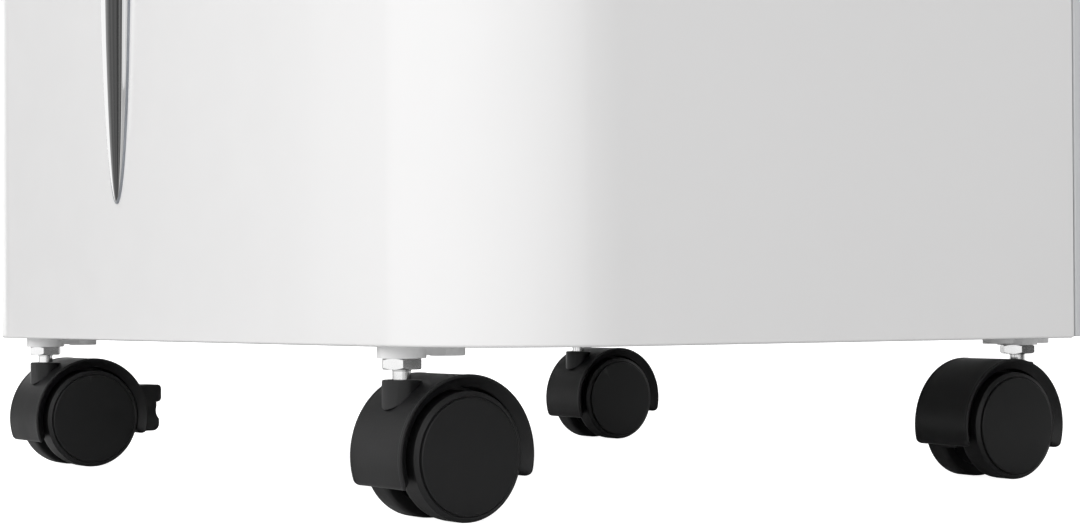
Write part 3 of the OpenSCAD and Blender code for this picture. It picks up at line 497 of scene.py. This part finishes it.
def hood_band():
    """The roof over both wheels. Its sides slope in from a thin outer rim, and its ends are rounded."""
    half, out, inn = HOOD_HALF, HOOD_OUT, HOOD_IN
    mid = (out + inn) / 2
    m = MM
    left = [(-half, out - 0.75 * m), (-half, out - 0.3 * m), (-half + 0.12 * m, out - 0.08 * m),
            (-half + 0.35 * m, out), (-half + 1.1 * m, out), (-half + 1.3 * m, out - 0.05 * m), (-half + 1.5 * m, out - 0.12 * m)]
    outer = left + [(-v, r) for v, r in reversed(left)]
    inner = [(half - 0.25 * m, out - 1.0 * m), (half - 1.8 * m, inn + 1.4 * m), (half - 2.3 * m, inn + 0.3 * m),
             (half - 2.6 * m, inn)]
    inner += [(-v, r) for v, r in reversed(inner)]
    section = outer + inner
    nose = (out - inn) / 2
    corner = 2.6 * m
    steps = 6
    path = []
    for i in range(steps + 1):
        t = math.radians(84 * (1 - i / steps))
        path.append((HOOD_FROM - math.degrees(nose * math.sin(t) / mid), math.cos(t)))
    path += [(HOOD_FROM + (HOOD_TO - HOOD_FROM) * i / 96, 1.0) for i in range(1, 96)]
    for i in range(steps + 1):
        t = math.radians(84 * i / steps)
        path.append((HOOD_TO + math.degrees(nose * math.sin(t) / mid), math.cos(t)))
    first, last = path[0][0], path[-1][0]
    rings = []
    for angle, thin in path:
        a = math.radians(angle)
        to_end = math.radians(min(angle - first, last - angle)) * mid
        lost = corner - math.sqrt(max(0, corner ** 2 - max(0, corner - to_end) ** 2))
        narrow = 1 - lost / half
        rings.append([(TRAIL + (mid + (r - mid) * thin) * math.cos(a), v * narrow,
                       AXLE_Z + (mid + (r - mid) * thin) * math.sin(a)) for v, r in section])
    return rings_mesh(rings)


def hood_web():
    """The wall between the wheels, hollowed from below into ribbed pockets."""
    radius = HOOD_IN + 0.8 * MM
    low = 12 * MM
    start = math.degrees(math.asin((low - AXLE_Z) / radius))
    outline = arc((TRAIL, AXLE_Z), radius, start, 180 - start, 48)
    web = rings_mesh([[(u, v, z) for u, z in outline] for v in (-WEB_HALF, WEB_HALF)])
    pockets = []
    for u in (-3.2, 3.0, 21.5, 27.0):
        pockets.append(box_mesh(((u + 1) * MM, -WEB_HALF + 1.1 * MM, 5 * MM),
                                ((u + 5) * MM, WEB_HALF - 1.1 * MM, (17 if u > 20 else 19) * MM)))
    return combine(web, pockets, "DIFFERENCE")


def hood_sleeve():
    """The socket for the stem. Its lower end is cut on the slant and stands a little off the roof."""
    steps = 48
    radius = SLEEVE_R + 0.3 * MM
    top = [(radius, -0.7), (radius - 0.12 * MM, -0.25), (radius - 0.35 * MM, -0.07), (radius - 0.7 * MM, 0)]
    rows = []
    for r, height in [(radius - 0.25 * MM, 0.0), (radius, 0.3)] + top:
        row = []
        for i in range(steps):
            a = 2 * math.pi * i / steps
            x = r * math.cos(a)
            low = min(34.2 * MM + 0.75 * (x + radius), 39 * MM)
            z = (low if len(rows) < 2 else SLEEVE_TOP) + height * MM
            row.append((x, r * math.sin(a), z))
        rows.append(row)
    return rings_mesh(rows)


def stem_socket():
    return lathe([(2.9 * MM, 21.5 * MM), (2.9 * MM, SLEEVE_TOP - 0.5 * MM),
                  (3.4 * MM, SLEEVE_TOP + 0.1 * MM), (3.4 * MM, SLEEVE_TOP + 2 * MM)], 32)


def axle_hole(radius, half):
    bm = lathe([(radius, -half), (radius, half)], 32)
    turn = Matrix.Translation((TRAIL, 0, AXLE_Z)) @ Matrix.Rotation(math.radians(90), 4, "X")
    bmesh.ops.transform(bm, matrix=turn, verts=bm.verts)
    return bm


def make_hood(corner, braked):
    bm = combine(hood_band(), [hood_web(), hood_sleeve()], "UNION")
    cuts = [stem_socket(), axle_hole(2.5 * MM, 30 * MM)]
    if braked:
        slot_half = 6.4 * MM
        cuts.append(box_mesh((TRAIL + 17 * MM, -slot_half, 5 * MM), (60 * MM, slot_half, 34.5 * MM)))
    bm = combine(bm, cuts, "DIFFERENCE")
    piece("caster_hood_shell_" + corner, bm, "caster_" + corner, "black_plastic",
          ("caster_hood_" + corner,), matrix=caster_matrix(corner))


def wheel_profile():
    """Half section of a wheel, (radius, distance outwards from its inner face)."""
    r, w = WHEEL_R, WHEEL_FACE - WHEEL_BACK
    m = MM
    return [(2.55 * m, 9.0 * m), (2.55 * m, 0.3 * m), (2.9 * m, 0), (8.6 * m, 0), (9.0 * m, 0.3 * m),
            (9.2 * m, 1.8 * m), (15.4 * m, 1.8 * m), (15.8 * m, 0.4 * m), (16.2 * m, 0), (r - 1.2 * m, 0),
            (r - 0.5 * m, 0.2 * m), (r - 0.12 * m, 0.8 * m), (r, 2.4 * m),
            (r, w - 2.1 * m), (r - 0.04 * m, w - 1.9 * m), (r - 0.16 * m, w - 1.74 * m),
            (r - 0.34 * m, w - 1.62 * m),
            (r - 1.45 * m, w - 1.02 * m), (r - 1.6 * m, w - 1.08 * m), (r - 1.72 * m, w - 1.3 * m),
            (r - 2.0 * m, w - 1.3 * m), (r - 2.06 * m, w - 0.7 * m), (r - 2.12 * m, w - 0.5 * m),
            (r - 2.28 * m, w - 0.36 * m), (r - 2.5 * m, w - 0.3 * m),
            (14 * m, w - 0.18 * m), (9 * m, w - 0.07 * m), (4 * m, w - 0.01 * m), (0, w)]


def make_wheel(corner, side):
    profile = wheel_profile()
    bm = lathe([(0, 9.0 * MM)] + profile, 128)
    sign = 1 if side == "left" else -1
    turn = Matrix.Rotation(math.radians(-90 * sign), 4, "X")
    place = caster_matrix(corner) @ Matrix.Translation((TRAIL, 0, AXLE_Z)) @ turn \
        @ Matrix.Translation((0, 0, WHEEL_BACK))
    node = f"wheel_{corner}_{side}"
    piece(node + "_tyre", bm, body_of[node], "black_wheel", (node,), matrix=place)


def make_stems():
    """Four threaded stems, each with a chamfered hexagon, a collar and a plain pin below it."""
    whole = bmesh.new()
    hex_low, hex_high, flats = 46.5 * MM, 49.9 * MM, 5.8 * MM
    for corner in CORNERS:
        prism = lathe([(flats / math.cos(math.pi / 6), hex_low), (flats / math.cos(math.pi / 6), hex_high)], 6)
        limit = lathe([(flats - 0.1 * MM, hex_low - 0.01 * MM), (flats + 1.0 * MM, hex_low + 0.6 * MM),
                       (flats + 1.0 * MM, hex_high - 0.6 * MM), (flats - 0.1 * MM, hex_high + 0.01 * MM)], 64)
        nut = combine(prism, [limit], "INTERSECT")
        pin = [(0, 23.5), (2.3, 23.5), (2.85, 24.1), (2.85, 46.0), (3.0, 46.2), (3.0, 46.8)]
        thread = [(3.0 if i % 2 else 2.6, 49.6 + 0.5 * i) for i in range(21)]
        stem = lathe([(r * MM, z * MM) for r, z in pin + thread + [(2.2, 60.0), (0, 60.0)]], 48)
        bm = combine(nut, [stem], "UNION")
        bmesh.ops.transform(bm, matrix=caster_matrix(corner), verts=bm.verts)
        gather(whole, bm)
    piece("caster_stem_set", whole, "cabinet", "zinc_steel", ("caster_stems",))


def pad_disc(radius, bottom, top):
    """A round pad with a softened lower rim."""
    return lathe([(0, bottom), (radius - 0.3 * MM, bottom), (radius - 0.08 * MM, bottom + 0.08 * MM),
                  (radius, bottom + 0.3 * MM), (radius, top), (0, top)], 64)


def pad_lobe(lobe, bottom, top):
    """The smaller pad beside a stem's seat, with the neck that joins them. The seat's middle is left free."""
    neck_half, seat_half_w, seat_half = 4.4 * MM, 9 * MM, 4 * MM
    near, far = sorted((0, -lobe))
    neck = box_mesh((-neck_half, near, bottom + 0.35 * MM), (neck_half, far, top - 0.1 * MM))
    middle = box_mesh((-seat_half_w, -lobe - seat_half, bottom - 1.55 * MM),
                      (seat_half_w, -lobe + seat_half, top + MM))
    return combine(combine(pad_disc(5.6 * MM, bottom, top), [neck], "UNION"), [middle], "DIFFERENCE")


def pad_seat(bottom, top):
    """The round pad under a stem, with the hole for it."""
    hole = lathe([(3.05 * MM, bottom - 5 * MM), (3.05 * MM, top + 5 * MM)], 48)
    return combine(pad_disc(7.55 * MM, bottom, top), [hole], "DIFFERENCE")


def make_pads():
    """The foot pads under the pan: a round seat for each stem and a smaller lobe or two beside it."""
    whole = bmesh.new()
    seat_low, lobe_low, high = 49.85 * MM, 50.4 * MM, 56 * MM
    front_lobes, rear_lobes = (0, 16.5), (0, -11, 9.5)
    for corner in CORNERS:
        x, y, _ = joints["swivel_" + corner]["pos_m"]
        for lobe in (front_lobes if corner[0] == "f" else rear_lobes):
            bm = pad_lobe(lobe * MM, lobe_low, high) if lobe else pad_seat(seat_low, high)
            bmesh.ops.translate(bm, vec=(x, y + lobe * MM, 0), verts=bm.verts)
            gather(whole, bm)
    piece("base_pads", whole, "cabinet", "grey_plastic", material="pan_plastic")


CORNERS = ("fl", "fr", "rl", "rr")
make_pads()
for corner in CORNERS:
    make_hood(corner, corner == "fl")
    for side in ("left", "right"):
        make_wheel(corner, side)
    refine("caster_axle_" + corner, 0.3)
make_stems()
refine("brake_lever", 0.7, 3)


# ---------------------------------------------------------------- cabinet

HALF_W = corners["front_shell"][1].x
FRONT_Y = corners["front_shell"][0].y
SEAM_Y = corners["front_shell"][1].y
LIFT = corners["front_shell"][0].z
SHELL_TOP = corners["front_shell"][1].z
WALL = 3 * MM
FRONT_R = 50 * MM


def front_line(inset, steps=36):
    """The front shell's plan from its left seam to its right one, inset from its outer face."""
    half, radius, front = HALF_W - inset, FRONT_R - inset, FRONT_Y + inset
    return ([(-half, SEAM_Y)] + arc((radius - half, front + radius), radius, 180, 270, steps)
            + arc((half - radius, front + radius), radius, -90, 0, steps) + [(half, SEAM_Y)])


def make_front_shell():
    """The wrap-round front with openings for the hand grips and softened edges."""
    lip, grip_gap, grip_r = 0.5 * MM, 0.2 * MM, 5 * MM
    outer = list(reversed(front_line(0)))
    bm = slab(outer + front_line(WALL), LIFT - lip, SHELL_TOP)
    low, high = corners["side_grips"]
    outline = rounded_outline((low.y - grip_gap, low.z - grip_gap),
                              (high.y + grip_gap, high.z + grip_gap), grip_r)
    cuts = []
    for side in (-1, 1):
        x0, x1 = sorted((side * (HALF_W - 8 * MM), side * (HALF_W + 5 * MM)))
        cuts.append(rings_mesh([[(x, y, z) for y, z in outline] for x in (x0, x1)]))
    bm = combine(bm, cuts, "DIFFERENCE")
    flatten(bm)
    round_edges(bm, 0.9 * MM, 3)
    piece("front_casing", bm, "cabinet", "white_gloss", ("front_shell",))


make_front_shell()


# Slope of the blade's face in degrees at places across it, from its left edge (-1) towards its right.
BLADE_SLOPES = ((-1.0, -50), (-0.985, -30), (-0.965, -11.5), (-0.42, -9.5), (-0.36, -6), (0.1, -3.5),
                (0.5, -1.5), (0.92, 0.8), (0.945, 6), (0.955, 40), (0.965, 75))


def blade_section():
    """Half widths and heights across the blade, added up from its slopes."""
    half_w = 14.3 * MM
    steps = 110
    first, last = BLADE_SLOPES[0][0], BLADE_SLOPES[-1][0]
    span = last - first
    points = [(first, 0.0), (first, 0.05 * MM)]
    for i in range(1, steps + 1):
        u = first + span * i / steps
        for (u0, a0), (u1, a1) in zip(BLADE_SLOPES, BLADE_SLOPES[1:]):
            if u0 <= u <= u1 + 1e-9:
                angle = a0 + (a1 - a0) * (u - u0) / (u1 - u0)
        points.append((u, points[-1][1] - math.tan(math.radians(angle)) * half_w * span / steps))
    return points + [(0.975, points[-1][1] - 0.25 * MM), (0.985, 0.3 * MM), (0.985, 0.0)]


def make_blade():
    """The chrome blade: a long lens shape with a sloping left face, and a thin dark grey rim round it that paints
    in the shade and dark reflection at its edge.
    """
    low, high = corners["chrome_trim"]
    shade_rim_width, aside, below_widest = 0.45 * MM, 2 * MM, 111 * MM
    lean, lean_from = 1.0 * MM, 62 * MM
    middle = (low.x + high.x) / 2 - aside
    half_w = (high.x - low.x) / 2 - shade_rim_width
    widest = low.z + below_widest
    rows, painted_shade_rim = [], []
    steps = 120
    shape = blade_section()
    shade_rim_shape = ((-0.94, 0), (-0.94, 0.05), (-0.9, 0.1), (0.97, 0.75), (1, 0.6), (1, 0))
    for k in range(steps + 1):
        t = -math.pi / 2 + math.pi * k / steps
        reach = (widest - low.z) if t < 0 else (high.z - widest)
        z = widest + reach * math.sin(t)
        wide = max(half_w * math.cos(t), 0.02 * MM)
        tall = 0.06 + 0.94 * math.cos(t)
        x = middle + lean * max(0.0, 1 - (z - low.z) / lean_from)
        rows.append([(x + u * wide, high.y - h * tall, z) for u, h in shape])
        painted_shade_rim.append([(x + u * (wide + shade_rim_width), high.y - h * MM, z) for u, h in shade_rim_shape])
    piece("chrome_blade", rings_mesh(rows), "cabinet", "chrome", ("chrome_trim",))
    # a dark grey rim round the blade: painted shade and dark reflection along its edge
    piece("chrome_blade_shade_rim", rings_mesh(painted_shade_rim), "cabinet", "chrome", material="motor_steel")


make_blade()


# ---------------------------------------------------------------- panel

FIVE, ZERO = "afgcd", "abcdef"
BUTTONS = ("power", "mode", "speed", "timer")


def make_digits():
    """Two lit seven-segment digits on the window."""
    low, high = corners["display_window"]
    bm = bmesh.new()
    wide, tall, bar, apart = 9 * MM, 17 * MM, 1.7 * MM, 8 * MM
    sunk, raised, gap = 0.1 * MM, 0.12 * MM, bar * 0.6
    flat, upright = (wide / 2 - gap, bar / 2), (bar / 2, tall / 4 - gap)
    places = {"a": (0, tall / 2, flat), "g": (0, 0, flat), "d": (0, -tall / 2, flat),
              "b": (wide / 2, tall / 4, upright), "c": (wide / 2, -tall / 4, upright),
              "f": (-wide / 2, tall / 4, upright), "e": (-wide / 2, -tall / 4, upright)}
    centre = (low + high) / 2
    for digit, offset in ((FIVE, -apart), (ZERO, apart)):
        for key in digit:
            x, y, half = places[key]
            cx, cy = centre.x + offset + x, centre.y + y
            box_mesh((cx - half[0], cy - half[1], high.z - sunk),
                     (cx + half[0], cy + half[1], high.z + raised), bm)
    piece("display_digits", bm, "cabinet", "display_glass", material="display_light")


def make_lamps():
    """One small lamp behind each button."""
    lamps = bmesh.new()
    behind = 9 * MM
    for button in BUTTONS:
        a, b = corners["button_" + button]
        lamp = lathe([(1.3 * MM, 613.7 * MM), (1.3 * MM, 614.1 * MM), (1.0 * MM, 614.3 * MM)], 24)
        bmesh.ops.translate(lamp, vec=((a.x + b.x) / 2, b.y + behind, 0), verts=lamp.verts)
        gather(lamps, lamp)
    piece("button_lamps", lamps, "cabinet", "display_glass", material="display_light")


make_digits()
make_lamps()


# ---------------------------------------------------------------- everything else, refined from the CAD

for node, item in frame["nodes"].items():
    if not item.hide_render:
        refine(node)
